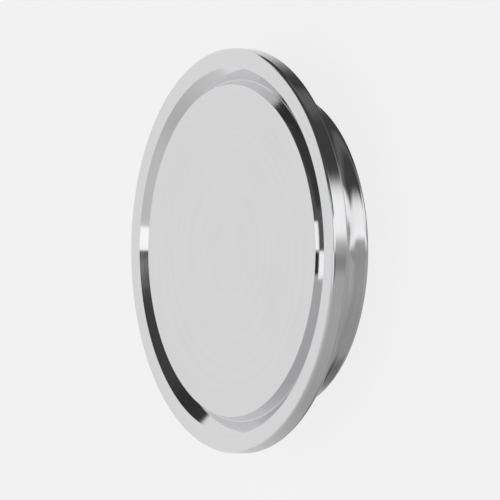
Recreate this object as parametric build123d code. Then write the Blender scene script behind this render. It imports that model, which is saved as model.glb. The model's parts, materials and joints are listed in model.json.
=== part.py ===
from build123d import *
from math import radians, tan
import os

os.makedirs("parts", exist_ok=True)

# Sanitary clamp end cap, in the flange size that closes 1 inch and 1-1/2 inch clamp
# fittings. It is one piece, turned from solid stainless bar. Units are millimetres.
# The cap lies on its boss with the sealing face up. The origin is on the axis, in the
# boss's flat back, and +Z points out of the sealing face.

# Clamp flange: its rim, and the bevel behind it that the clamp's two halves wedge on.
flange_diameter = 50.5
rim_thickness = 2.15
front_edge_radius = 0.42
back_edge_radius = 0.60
bevel_angle = 20.0

# Boss behind the bevel. Its wall widens towards the flange, and a wide neck joins the two.
boss_inset = 5.68
boss_height = 4.8
boss_taper = 7.5
boss_edge_radius = 1.35
neck_radius = 4.75

# Gasket groove in the sealing face: a steep inner wall, a gentle slope outside it, and a
# narrow flat floor, as wide as the turning tool's nose.
groove_inset = 3.45
groove_width = 2.16
groove_wall_lean = 21.5
groove_slope = 39.0
groove_floor_width = 0.10

# Sizes that follow from the ones above.
flange_radius = flange_diameter / 2
boss_radius = flange_radius - boss_inset
neck_corner_radius = boss_radius + boss_height * tan(radians(boss_taper))
bevel_width = flange_radius - neck_corner_radius
bevel_top = boss_height + bevel_width * tan(radians(bevel_angle))
total_thickness = bevel_top + rim_thickness
groove_inner_edge = flange_radius - groove_inset - groove_width / 2
groove_outer_edge = groove_inner_edge + groove_width
wall_run = tan(radians(groove_wall_lean))
slope_run = 1 / tan(radians(groove_slope))
groove_depth = (groove_width - groove_floor_width) / (wall_run + slope_run)
groove_floor_start = groove_inner_edge + groove_depth * wall_run
groove_floor_end = groove_floor_start + groove_floor_width
groove_floor_height = total_thickness - groove_depth

# The most of a wall that the rounded corner at one end of it may take up.
corner_share = 0.45
neck_share = 0.65
boss_edge_share = 0.30


def round_corner(section, place, radius, turn, room):
    """Round the section's corner at a (radius, height), within the room that its walls have."""
    corner = section.vertices().sort_by_distance((*place, 0))[0]
    fillet(corner, min(radius, room / tan(radians(turn / 2))))


def round_corners(section):
    """Round the rim's two edges, the neck and the boss's back edge."""
    front_edge = (flange_radius, total_thickness)
    front_room = corner_share * rim_thickness
    round_corner(section, front_edge, front_edge_radius, 90, front_room)
    back_edge = (flange_radius, bevel_top)
    back_room = corner_share * min(rim_thickness, bevel_width)
    round_corner(section, back_edge, back_edge_radius, 90 - bevel_angle, back_room)
    neck = (neck_corner_radius, boss_height)
    neck_turn = 90 - bevel_angle - boss_taper
    neck_room = neck_share * min(boss_height, bevel_width)
    round_corner(section, neck, neck_radius, neck_turn, neck_room)
    boss_edge = (boss_radius, 0)
    boss_room = boss_edge_share * boss_height
    round_corner(section, boss_edge, boss_edge_radius, 90 - boss_taper, boss_room)


def draw_section():
    """Half section of the cap, from the axis out to the rim."""
    with BuildSketch() as section:
        with BuildLine():
            Polyline(
                (0, 0),
                (boss_radius, 0),
                (neck_corner_radius, boss_height),
                (flange_radius, bevel_top),
                (flange_radius, total_thickness),
                (groove_outer_edge, total_thickness),
                (groove_floor_end, groove_floor_height),
                (groove_floor_start, groove_floor_height),
                (groove_inner_edge, total_thickness),
                (0, total_thickness),
                close=True,
            )
        make_face()
        round_corners(section)
    return section.sketch


def turn_cap():
    """Turn the section about the cap's axis."""
    cap = revolve(Plane.XZ * draw_section(), Axis.Z)
    cap.label = "end_cap"
    return cap


export_step(turn_cap(), "parts/end_cap.step")
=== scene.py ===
"""Sanitary clamp end cap, turned from stainless bar: its finish, its studio and its camera."""
import json
import math

import bmesh
import bpy
from mathutils import Matrix, Vector


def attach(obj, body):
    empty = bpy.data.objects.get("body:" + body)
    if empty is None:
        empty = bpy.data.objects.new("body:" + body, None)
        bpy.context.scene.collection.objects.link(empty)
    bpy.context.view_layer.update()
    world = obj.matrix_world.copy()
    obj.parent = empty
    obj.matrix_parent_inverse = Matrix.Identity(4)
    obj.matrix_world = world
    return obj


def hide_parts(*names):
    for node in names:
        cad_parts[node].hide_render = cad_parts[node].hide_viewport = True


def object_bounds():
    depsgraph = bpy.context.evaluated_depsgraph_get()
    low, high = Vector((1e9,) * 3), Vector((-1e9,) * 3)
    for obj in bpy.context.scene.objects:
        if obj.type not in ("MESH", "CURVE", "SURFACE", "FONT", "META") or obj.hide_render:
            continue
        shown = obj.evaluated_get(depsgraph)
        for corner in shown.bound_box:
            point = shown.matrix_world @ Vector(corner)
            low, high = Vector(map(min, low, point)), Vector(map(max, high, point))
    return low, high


bl_info = {
    "name": "Sanitary Clamp End Cap",
    "version": (1, 0, 0),
    "blender": (4, 5, 0),
    "location": "View3D > Sidebar > End Cap",
    "description": "Turned stainless end cap for a sanitary clamp joint, with its studio",
    "category": "Add Mesh",
}

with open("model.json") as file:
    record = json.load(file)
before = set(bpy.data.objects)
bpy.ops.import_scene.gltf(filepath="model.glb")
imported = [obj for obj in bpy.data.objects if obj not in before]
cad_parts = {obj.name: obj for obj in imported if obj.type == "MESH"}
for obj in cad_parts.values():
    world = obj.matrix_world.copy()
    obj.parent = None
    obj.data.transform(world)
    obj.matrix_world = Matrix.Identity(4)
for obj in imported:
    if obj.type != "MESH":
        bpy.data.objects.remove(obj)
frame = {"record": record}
CAD_LOW, CAD_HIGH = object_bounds()

MM = 0.001
BODY = "root"
CAP_NODE = "end_cap"

FLANGE_DIAMETER = CAD_HIGH.x - CAD_LOW.x
TOTAL_THICKNESS = CAD_HIGH.z - CAD_LOW.z
STEEL_COLOUR = tuple(frame["record"]["materials"][0]["base_color"])

# The mesh: how finely arcs and long straight runs of the outline are divided.
ARC_STEP = math.radians(6)
LONGEST_RUN = 1.5 * MM

# The finishes, by their place in the cap's list of materials.
FACED, TURNED, GROOVED = 0, 1, 2

# Heights of the lathe lines in metres, and how far the lines tint the steel.
FACE_RELIEF, SIDE_RELIEF, GROOVE_RELIEF = 0.6e-6, 3.0e-6, 0.3e-6
FACE_STREAK, SIDE_STREAK = 0.010, 0.03
LINE_DRIFT = 0.45  # how fast a line changes as it goes round

# The groove's finish starts this far below the face, and the side's finish this far.
GROOVE_START = 0.005 * MM
SIDE_START = 0.10 * MM

# The studio, in metres and watts.
FLOOR_RADIUS = 6.0
FLOOR_GAP = 0.01 * MM
SOFTBOX_WIDTH = 1.5
SOFTBOX_HEIGHT = 1.2
SOFTBOX_POWER = 4.0
CAMERA_DISTANCE = 0.5

# How far the camera aims past the middle of the sealing face.
AIM_RIGHT = 2.2745 * MM
AIM_UP = 0.0935 * MM


# ---------------------------------------------------------------- settings

def length(name, description, default, **limits):
    """A size in metres that the sidebar shows in the scene's own unit."""
    return bpy.props.FloatProperty(
        name=name, description=description, default=default,
        min=0.0, precision=5, unit="LENGTH", subtype="DISTANCE", **limits)


def angle(name, description, degrees):
    """An angle that the sidebar shows in degrees."""
    return bpy.props.FloatProperty(
        name=name, description=description, default=math.radians(degrees),
        unit="ROTATION", subtype="ANGLE")


def share(name, description, default, top=1.0):
    """A plain number from nothing up to its top value."""
    return bpy.props.FloatProperty(
        name=name, description=description, default=default, min=0.0, max=top,
        precision=3, subtype="FACTOR")


class EndCapSizes(bpy.types.PropertyGroup):
    """Sizes of the turned cap."""

    flange_diameter: length("Flange diameter", "Across the clamp flange's rim", FLANGE_DIAMETER)
    thickness: length("Thickness", "From the boss's back to the sealing face", TOTAL_THICKNESS)
    bevel_angle: angle("Bevel angle", "Slope of the face that the clamp wedges on", 20)
    front_edge: length("Front edge", "Round between the sealing face and the rim", 0.42 * MM)
    back_edge: length("Back edge", "Round between the rim and the bevel", 0.60 * MM)
    boss_inset: length("Boss inset", "From the rim in to the boss's back edge", 5.68 * MM)
    boss_height: length("Boss height", "From the boss's back to the foot of the bevel", 4.8 * MM)
    boss_taper: angle("Boss taper", "Lean of the boss's wall, wider towards the flange", 7.5)
    boss_edge: length("Boss edge", "Round at the boss's back edge", 1.35 * MM)
    neck: length("Neck", "Round in the corner between bevel and boss", 4.75 * MM)
    groove_inset: length("Groove inset", "From the rim in to the groove's middle", 3.45 * MM)
    groove_width: length("Groove width", "Across the groove at the sealing face", 2.16 * MM)
    groove_wall_lean: angle("Groove wall lean", "Inner wall's lean from upright", 21.5)
    groove_slope: angle("Groove slope", "Outer wall's slope from the sealing face", 39)
    groove_floor: length("Groove floor", "Round at the bottom of the groove", 0.10 * MM)
    groove_lip: length("Groove lip", "Round where the groove meets the face", 0.05 * MM)
    turns: bpy.props.IntProperty(
        name="Steps around", description="Steps that the outline is turned in",
        default=480, min=24, max=720)


class EndCapFinish(bpy.types.PropertyGroup):
    """The turned and polished stainless finish."""

    steel: bpy.props.FloatVectorProperty(
        name="Steel", description="Colour of bare stainless", size=3,
        default=STEEL_COLOUR, min=0.0, max=1.0, subtype="COLOR")
    face_roughness: share("Face roughness", "Blur of the faced sealing side", 0.17)
    side_roughness: share("Side roughness", "Blur of the rim, bevel and boss", 0.15)
    groove_roughness: share("Groove roughness", "Blur inside the gasket groove", 0.08)
    face_pitch: length("Facing pitch", "Widest spacing of the rings on the face", 0.55 * MM)
    side_pitch: length("Turning pitch", "Widest spacing of the lines on the side", 0.40 * MM)


class EndCapStudio(bpy.types.PropertyGroup):
    """Floor, light and camera."""

    floor_tone: share("Floor tone", "Brightness of the pale floor", 0.94)
    view_width: length("View width", "Width of what the camera takes in", 62.3 * MM)
    view_elevation: angle("View elevation", "Camera's height above the sealing face", 30.16)


# ---------------------------------------------------------------- the turned outline

def straight_normal(start, end):
    """Outward normal of a straight run of the outline, which goes round with the metal on its right."""
    along = (end - start).normalized()
    return Vector((-along.y, along.x))


def rounded_corner(before, corner, after, radius, step):
    """Points and outward normals of the arc that rounds one corner of the outline."""
    normal_in = straight_normal(before, corner)
    normal_out = straight_normal(corner, after)
    turn = normal_in.angle_signed(normal_out)
    setback = radius * math.tan(abs(turn) / 2)
    start = corner + (before - corner).normalized() * setback
    side = 1 if turn > 0 else -1
    centre = start - side * radius * normal_in
    steps = max(2, math.ceil(abs(turn) / step))
    arc = []
    for index in range(steps + 1):
        bent = -turn * index / steps
        normal = Matrix.Rotation(bent, 2) @ normal_in
        arc.append((centre + side * radius * normal, normal))
    return arc


def groove_edges(sizes):
    """Radii at which the groove meets the sealing face."""
    middle = sizes.flange_diameter / 2 - sizes.groove_inset
    return middle - sizes.groove_width / 2, middle + sizes.groove_width / 2


def cap_outline(sizes):
    """Corners of the half section, (radius, height), with the radius that rounds each one."""
    rim = sizes.flange_diameter / 2
    boss = rim - sizes.boss_inset
    neck = boss + sizes.boss_height * math.tan(sizes.boss_taper)
    bevel_top = sizes.boss_height + (rim - neck) * math.tan(sizes.bevel_angle)
    top = sizes.thickness
    inner, outer = groove_edges(sizes)
    wall_run = math.tan(sizes.groove_wall_lean)
    slope_run = 1 / math.tan(sizes.groove_slope)
    depth = sizes.groove_width / (wall_run + slope_run)
    return [
        (0, top, 0),
        (inner, top, sizes.groove_lip),
        (inner + depth * wall_run, top - depth, sizes.groove_floor),
        (outer, top, sizes.groove_lip),
        (rim, top, sizes.front_edge),
        (rim, bevel_top, sizes.back_edge),
        (neck, sizes.boss_height, sizes.neck),
        (boss, 0, sizes.boss_edge),
        (0, 0, 0),
    ]


def round_outline(corners, step):
    """The outline as points with outward normals, every corner an arc and every run straight."""
    spots = [Vector((radius, height)) for radius, height, _ in corners]
    points = [(spots[0], straight_normal(spots[0], spots[1]))]
    for index in range(1, len(corners) - 1):
        points += rounded_corner(
            spots[index - 1], spots[index], spots[index + 1], corners[index][2], step)
    points.append((spots[-1], straight_normal(spots[-2], spots[-1])))
    return [points[0]] + [
        point for last, point in zip(points, points[1:])
        if (point[0] - last[0]).length > 1e-9]


def divide_runs(points, longest):
    """Extra points on the long straight runs, so that no ring of faces is wider than the longest."""
    divided = [points[0]]
    for (start, _), (end, normal) in zip(points, points[1:]):
        parts = max(1, math.ceil((end - start).length / longest))
        flat = straight_normal(start, end)
        divided += [(start.lerp(end, part / parts), flat) for part in range(1, parts)]
        divided.append((end, normal))
    return divided


def turn_outline(name, points, turns):
    """Turn the outline about the axis into a closed mesh with exact normals."""
    shape = bmesh.new()
    rings = []
    normals = []
    for spot, normal in points:
        on_axis = spot.x < 1e-9
        ring = []
        for index in range(1 if on_axis else turns):
            around = 2 * math.pi * index / turns
            cos, sin = math.cos(around), math.sin(around)
            ring.append(shape.verts.new((spot.x * cos, spot.x * sin, spot.y)))
            normals.append((normal.x * cos, normal.x * sin, normal.y))
        rings.append(ring)
    for upper, lower in zip(rings, rings[1:]):
        for index in range(turns):
            following = (index + 1) % turns
            if len(upper) == 1:
                corners = (upper[0], lower[index], lower[following])
            elif len(lower) == 1:
                corners = (upper[index], lower[0], upper[following])
            else:
                corners = (upper[index], lower[index], lower[following], upper[following])
            shape.faces.new(corners).smooth = True
    mesh = bpy.data.meshes.new(name)
    shape.to_mesh(mesh)
    shape.free()
    mesh.normals_split_custom_set_from_vertices(normals)
    return mesh


# ---------------------------------------------------------------- node helpers

class NodeBench:
    """Short ways to add and join the nodes of one material or world."""

    def __init__(self, tree):
        self.tree = tree
        tree.nodes.clear()

    def add(self, kind, **settings):
        node = self.tree.nodes.new(kind)
        for key, value in settings.items():
            setattr(node, key, value)
        return node

    def feed(self, node, key, value):
        if isinstance(value, bpy.types.NodeSocket):
            self.tree.links.new(value, node.inputs[key])
        else:
            node.inputs[key].default_value = value

    def math(self, operation, *values):
        node = self.add("ShaderNodeMath", operation=operation)
        for index, value in enumerate(values):
            self.feed(node, index, value)
        return node.outputs[0]

    def ramp(self, value, low, high, from_value, to_value, smooth=True):
        """Map value from low..high to from_value..to_value, held at both ends."""
        kind = "SMOOTHSTEP" if smooth else "LINEAR"
        node = self.add("ShaderNodeMapRange", interpolation_type=kind, clamp=True)
        for key, setting in (("Value", value), ("From Min", low), ("From Max", high),
                             ("To Min", from_value), ("To Max", to_value)):
            self.feed(node, key, setting)
        return node.outputs["Result"]

    def split(self, vector):
        node = self.add("ShaderNodeSeparateXYZ")
        self.feed(node, 0, vector)
        return node.outputs

    def combine(self, x, y, z):
        node = self.add("ShaderNodeCombineXYZ")
        for index, value in enumerate((x, y, z)):
            self.feed(node, index, value)
        return node.outputs[0]

    def blend(self, factor, below, above):
        """below where factor is 0 and above where it is 1."""
        node = self.add("ShaderNodeMix", data_type="FLOAT")
        self.feed(node, 0, factor)
        self.feed(node, 2, below)
        self.feed(node, 3, above)
        return node.outputs[0]


# ---------------------------------------------------------------- stainless finish

def turned_lines(bench, pitch):
    """Noise drawn out around the axis: it varies across the lathe's lines and barely along them."""
    place = bench.add("ShaderNodeTexCoord").outputs["Object"]
    x, y, z = bench.split(place)[:3]
    radius = bench.math("SQRT", bench.math("ADD", bench.math("MULTIPLY", x, x),
                                           bench.math("MULTIPLY", y, y)))
    safe = bench.math("MAXIMUM", radius, 1e-5)
    across = bench.combine(bench.math("DIVIDE", radius, pitch), bench.math("DIVIDE", z, pitch),
                           bench.math("MULTIPLY", bench.math("DIVIDE", x, safe), LINE_DRIFT))
    around = bench.math("MULTIPLY", bench.math("DIVIDE", y, safe), LINE_DRIFT)
    return place, across, around


def line_noise(bench, across, around, scale, detail, roughness):
    """Four-dimensional noise across the lines and round the axis, from 0 to 1."""
    noise = bench.add("ShaderNodeTexNoise", noise_dimensions="4D")
    bench.feed(noise, "Vector", across)
    bench.feed(noise, "W", around)
    bench.feed(noise, "Scale", scale)
    bench.feed(noise, "Detail", detail)
    bench.feed(noise, "Roughness", roughness)
    return noise.outputs[0]


def turned_steel(name, colour, roughness, pitch, relief, streak):
    """Stainless with lathe lines about the axis: relief is the lines' height in metres."""
    material = bpy.data.materials.new(name)
    material.use_nodes = True
    bench = NodeBench(material.node_tree)
    place, across, around = turned_lines(bench, pitch)
    coarse = line_noise(bench, across, around, 1.0, 5.0, 0.62)
    fine = line_noise(bench, across, around, 5.0, 2.0, 0.5)
    haze = bench.add("ShaderNodeTexNoise")
    bench.feed(haze, "Vector", place)
    bench.feed(haze, "Scale", 90.0)
    bench.feed(haze, "Detail", 3.0)
    shader = bench.add("ShaderNodeBsdfPrincipled")
    tint = bench.add("ShaderNodeMix", data_type="RGBA")
    bench.feed(tint, 0, bench.ramp(coarse, 0.3, 0.7, 0.0, 1.0))
    bench.feed(tint, 6, (*[part * (1 - streak) for part in colour], 1.0))
    bench.feed(tint, 7, (*[min(1.0, part * (1 + streak)) for part in colour], 1.0))
    bench.feed(shader, "Base Color", tint.outputs[2])
    shader.inputs["Metallic"].default_value = 1.0
    worn = bench.math("MULTIPLY", bench.ramp(fine, 0.25, 0.75, 0.75, 1.25),
                      bench.ramp(haze.outputs[0], 0.3, 0.7, 0.9, 1.1))
    bench.feed(shader, "Roughness", bench.math("MULTIPLY", worn, roughness))
    shader.inputs["Anisotropic"].default_value = 0.8
    shader.inputs["Anisotropic Rotation"].default_value = 0.25
    tangent = bench.add("ShaderNodeTangent", direction_type="RADIAL", axis="Z")
    bench.feed(shader, "Tangent", tangent.outputs[0])
    bump = bench.add("ShaderNodeBump")
    bench.feed(bump, "Strength", 1.0)
    bench.feed(bump, "Distance", relief)
    bench.feed(bump, "Height", bench.math("ADD", coarse, bench.math("MULTIPLY", fine, 0.3)))
    bench.feed(shader, "Normal", bump.outputs[0])
    output = bench.add("ShaderNodeOutputMaterial")
    bench.feed(output, "Surface", shader.outputs[0])
    return material


def steel_finishes(finish):
    """The three finishes, in the order FACED, TURNED, GROOVED."""
    colour = tuple(finish.steel)
    return (
        turned_steel("faced_stainless", colour, finish.face_roughness,
                     finish.face_pitch, FACE_RELIEF, FACE_STREAK),
        turned_steel("turned_stainless", colour, finish.side_roughness,
                     finish.side_pitch, SIDE_RELIEF, SIDE_STREAK),
        turned_steel("grooved_stainless", colour, finish.groove_roughness,
                     finish.face_pitch, GROOVE_RELIEF, FACE_STREAK),
    )


def finish_at(place, sizes):
    """The finish that the cap has at a place on its surface."""
    inner, outer = groove_edges(sizes)
    reach = math.hypot(place.x, place.y)
    below_face = sizes.thickness - place.z
    if inner - sizes.groove_lip < reach < outer + sizes.groove_lip:
        if GROOVE_START < below_face < sizes.groove_width:
            return GROOVED
    return TURNED if below_face > SIDE_START else FACED


class ENDCAP_OT_turn_cap(bpy.types.Operator):
    """Turn the end cap from its outline and give each surface its finish"""

    bl_idname = "endcap.turn_cap"
    bl_label = "Turn End Cap"

    def execute(self, context):
        sizes = context.scene.endcap_sizes
        finish = context.scene.endcap_finish
        points = divide_runs(round_outline(cap_outline(sizes), ARC_STEP), LONGEST_RUN)
        mesh = turn_outline("turned_end_cap", points, sizes.turns)
        for steel in steel_finishes(finish):
            mesh.materials.append(steel)
        for face in mesh.polygons:
            face.material_index = finish_at(face.center, sizes)
        cap = bpy.data.objects.new("turned_end_cap", mesh)
        context.scene.collection.objects.link(cap)
        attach(cap, BODY)
        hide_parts(CAP_NODE)
        return {"FINISHED"}


# ---------------------------------------------------------------- studio

def heading(bench, direction):
    """Heading of a direction round the cap's axis, in degrees from +X towards +Y."""
    x, y = bench.split(direction)[:2]
    radians = bench.math("ARCTAN2", y, x)
    return bench.math("MULTIPLY", radians, 180 / math.pi)


def height_angle(bench, direction):
    """Angle of a direction above the horizon, in degrees."""
    z = bench.split(direction)[2]
    return bench.math("MULTIPLY", bench.math("ARCSINE", z), 180 / math.pi)


def panel_mask(bench, bearing, above, panel):
    """1 inside a panel that stands at a heading between two heights, fading out past its edges."""
    middle, half_width, near_fade, far_fade, bottom, top, fade = panel
    offset = bench.math("WRAP", bench.math("SUBTRACT", bearing, middle), 180.0, -180.0)
    near = bench.ramp(offset, -half_width - near_fade, -half_width, 0.0, 1.0)
    far = bench.ramp(offset, half_width, half_width + far_fade, 1.0, 0.0)
    mask = bench.math("MULTIPLY", near, far)
    if bottom > -90:
        mask = bench.math("MULTIPLY", mask, bench.ramp(above, bottom - fade, bottom, 0.0, 1.0))
    if top < 90:
        mask = bench.math("MULTIPLY", mask, bench.ramp(above, top, top + fade, 1.0, 0.0))
    return mask


# Panels round the set, each over the ones before it. First its heading, half width and the fades
# before and after it, then its bottom, top and the fade past them, in degrees; then its brightness.
STUDIO_PANELS = {
    "pale upper walls": ((-90, 84, 10, 10, 58, 90, 22), 0.66),
    "table's far left": ((-125, 45, 12, 40, -62, -46, 30), 0.40),
    "table's near left": ((-85, 30, 30, 60, -56, -43, 8), 0.34),
    "dark bench on the left": ((-117, 14, 8, 16, -46, -39, 4), 0.10),
    "grey side wall": ((-6, 1.0, 9, 6, -90, 90, 0), 0.29),
    "black flag": ((79, 37, 8, 38, -90, 90, 0), 0.06),
    "flag's wing": ((130, 16, 6, 6, -16, 50, 5), 0.04),
    "pale backdrop": ((172, 38, 3, 10, -14, 34, 4), 0.91),
    "grey table behind the cap": ((180, 62, 25, 25, -90, -54, 8), 0.40),
    "table's far right": ((145, 30, 15, 4, -60, -38, 5), 0.06),
    "light gap in the flag": ((96, 5, 14, 8, -90, 10, 8), 0.14),
    "slim black flag": ((109.5, 1.0, 3, 4, -90, 50, 8), 0.05),
    "window strip": ((19.5, 8.5, 9, 18, -90, 57, 3), 1.19),
    "grey table by the window": ((-6, 13, 30, 6, -60, -42, 5), 0.37),
    "window's bright edge": ((10, 9, 1, 1, 2, 40, 5), 1.19),
    "window's shade": ((34, 14, 2, 8, 2, 40, 4), 0.09),
    "window's foot": ((32, 8, 8, 14, -90, -48, 14), 1.10),
    "flag over the window": ((18, 18, 2, 10, 61, 74, 2), 0.10),
    "high strip light": ((-14, 12, 4, 3, 60, 90, 3), 1.25),
    "high strip's bright foot": ((-14, 12, 4, 3, 60, 67, 2), 1.72),
    "small dark flag": ((-8, 6, 3, 2, 4, 24, 4), 0.03),
    "overhead softbox": ((85, 60, 25, 25, 76, 90, 5), 1.25),
    "grey table under the cap": ((0, 180, 0, 0, -90, -78, 10), 0.40),
    "window's pool on the table": ((46, 16, 12, 20, -78, -68, 3), 1.00),
    "pale table corner": ((97, 47, 15, 15, -79, -72, 3), 1.10),
}


# The bare room: its brightness behind the cap, its brightness at the sides and in front, and how
# far round from the back, in degrees, the one fades into the other.
ROOM_BEHIND, ROOM_IN_FRONT, ROOM_FADE = 0.945, 0.49, 82.0
BACKDROP_TONE = 0.888  # what shows past the floor's edge, as pale as the floor


def light_the_room(world):
    """A room that is pale behind the cap and grey in front, with a window strip and a black flag."""
    world.use_nodes = True
    bench = NodeBench(world.node_tree)
    direction = bench.add("ShaderNodeTexCoord").outputs["Generated"]
    bearing = heading(bench, direction)
    above = height_angle(bench, direction)
    away = bench.math("SUBTRACT", 180.0, bench.math("ABSOLUTE", bearing))
    tone = bench.ramp(away, 0.0, ROOM_FADE, ROOM_BEHIND, ROOM_IN_FRONT, smooth=False)
    for panel, brightness in STUDIO_PANELS.values():
        tone = bench.blend(panel_mask(bench, bearing, above, panel), tone, brightness)
    seen = bench.add("ShaderNodeLightPath").outputs["Is Camera Ray"]
    background = bench.add("ShaderNodeBackground")
    bench.feed(background, "Color", (1.0, 1.0, 1.0, 1.0))
    bench.feed(background, "Strength", bench.blend(seen, tone, BACKDROP_TONE))
    output = bench.add("ShaderNodeOutputWorld")
    bench.feed(output, "Surface", background.outputs[0])


FLOOR_GREY = 0.08  # the little that the floor takes from the lights, which carries the shadow
FLOOR_GLOW = 0.88


def pale_floor(tone):
    """Matt pale floor paint, lit mostly by itself so that it stays even, and clear from below."""
    material = bpy.data.materials.new("pale_floor")
    material.use_nodes = True
    bench = NodeBench(material.node_tree)
    matt = bench.add("ShaderNodeBsdfDiffuse")
    bench.feed(matt, "Color", (FLOOR_GREY, FLOOR_GREY, FLOOR_GREY, 1.0))
    glow = bench.add("ShaderNodeEmission")
    bench.feed(glow, "Color", (tone, tone, tone, 1.0))
    bench.feed(glow, "Strength", FLOOR_GLOW)
    both = bench.add("ShaderNodeAddShader")
    bench.feed(both, 0, matt.outputs[0])
    bench.feed(both, 1, glow.outputs[0])
    clear = bench.add("ShaderNodeBsdfTransparent")
    one_sided = bench.add("ShaderNodeMixShader")
    bench.feed(one_sided, 0, bench.add("ShaderNodeNewGeometry").outputs["Backfacing"])
    bench.feed(one_sided, 1, both.outputs[0])
    bench.feed(one_sided, 2, clear.outputs[0])
    output = bench.add("ShaderNodeOutputMaterial")
    bench.feed(output, "Surface", one_sided.outputs[0])
    return material


class ENDCAP_OT_build_studio(bpy.types.Operator):
    """Lay the pale floor, light the room and set the camera"""

    bl_idname = "endcap.build_studio"
    bl_label = "Build Studio"

    def execute(self, context):
        scene = context.scene
        sizes = scene.endcap_sizes
        studio = scene.endcap_studio
        self.lay_floor(scene, studio)
        if scene.world is None:
            scene.world = bpy.data.worlds.new("studio_room")
        light_the_room(scene.world)
        self.hang_softbox(scene)
        self.set_camera(scene, sizes, studio)
        scene.view_settings.view_transform = "Standard"
        scene.view_settings.look = "None"
        return {"FINISHED"}

    def lay_floor(self, scene, studio):
        shape = bmesh.new()
        bmesh.ops.create_circle(shape, cap_ends=True, segments=96, radius=FLOOR_RADIUS)
        mesh = bpy.data.meshes.new("studio_floor")
        shape.to_mesh(mesh)
        shape.free()
        mesh.materials.append(pale_floor(studio.floor_tone))
        floor = bpy.data.objects.new("studio_floor", mesh)
        floor.location.z = CAD_LOW.z - FLOOR_GAP
        floor.visible_glossy = False
        scene.collection.objects.link(floor)

    def hang_softbox(self, scene):
        """A wide softbox overhead, for the floor alone: polished steel doesn't mirror it."""
        lamp = bpy.data.lights.new("overhead_softbox", "AREA")
        lamp.shape = "DISK"
        lamp.size = SOFTBOX_WIDTH
        lamp.energy = SOFTBOX_POWER
        softbox = bpy.data.objects.new("overhead_softbox", lamp)
        softbox.location = (0.0, 0.0, SOFTBOX_HEIGHT)
        softbox.visible_glossy = False
        scene.collection.objects.link(softbox)

    def set_camera(self, scene, sizes, studio):
        """Look down on the lying cap from +X, with its axis level across the picture."""
        up = Vector((0, 1, 0))
        back = Vector((math.cos(studio.view_elevation), 0, math.sin(studio.view_elevation)))
        right = up.cross(back)
        face_centre = Vector((0, 0, sizes.thickness))
        aim = face_centre + AIM_RIGHT * right + AIM_UP * up
        data = bpy.data.cameras.new("studio_camera")
        data.type = "ORTHO"
        data.ortho_scale = studio.view_width
        data.clip_start = 0.01
        data.clip_end = 20.0
        camera = bpy.data.objects.new("studio_camera", data)
        turn = Matrix((right, up, back)).transposed().to_4x4()
        camera.matrix_world = Matrix.Translation(aim + CAMERA_DISTANCE * back) @ turn
        scene.collection.objects.link(camera)
        scene.camera = camera


class ENDCAP_PT_sidebar(bpy.types.Panel):
    """Sizes, finish and studio of the end cap"""

    bl_idname = "ENDCAP_PT_sidebar"
    bl_label = "Sanitary Clamp End Cap"
    bl_space_type = "VIEW_3D"
    bl_region_type = "UI"
    bl_category = "End Cap"

    def draw(self, context):
        for group in (context.scene.endcap_sizes, context.scene.endcap_finish,
                      context.scene.endcap_studio):
            box = self.layout.box()
            for key in group.__annotations__:
                box.prop(group, key)
        for operator in OPERATORS:
            self.layout.operator(operator.bl_idname)


OPERATORS = (ENDCAP_OT_turn_cap, ENDCAP_OT_build_studio)
CLASSES = (EndCapSizes, EndCapFinish, EndCapStudio, *OPERATORS, ENDCAP_PT_sidebar)


def register():
    for cls in CLASSES:
        bpy.utils.register_class(cls)
    bpy.types.Scene.endcap_sizes = bpy.props.PointerProperty(type=EndCapSizes)
    bpy.types.Scene.endcap_finish = bpy.props.PointerProperty(type=EndCapFinish)
    bpy.types.Scene.endcap_studio = bpy.props.PointerProperty(type=EndCapStudio)


def unregister():
    del bpy.types.Scene.endcap_studio
    del bpy.types.Scene.endcap_finish
    del bpy.types.Scene.endcap_sizes
    for cls in reversed(CLASSES):
        bpy.utils.unregister_class(cls)


def main():
    register()
    bpy.ops.endcap.turn_cap()
    bpy.ops.endcap.build_studio()


if __name__ == "__main__":
    main()
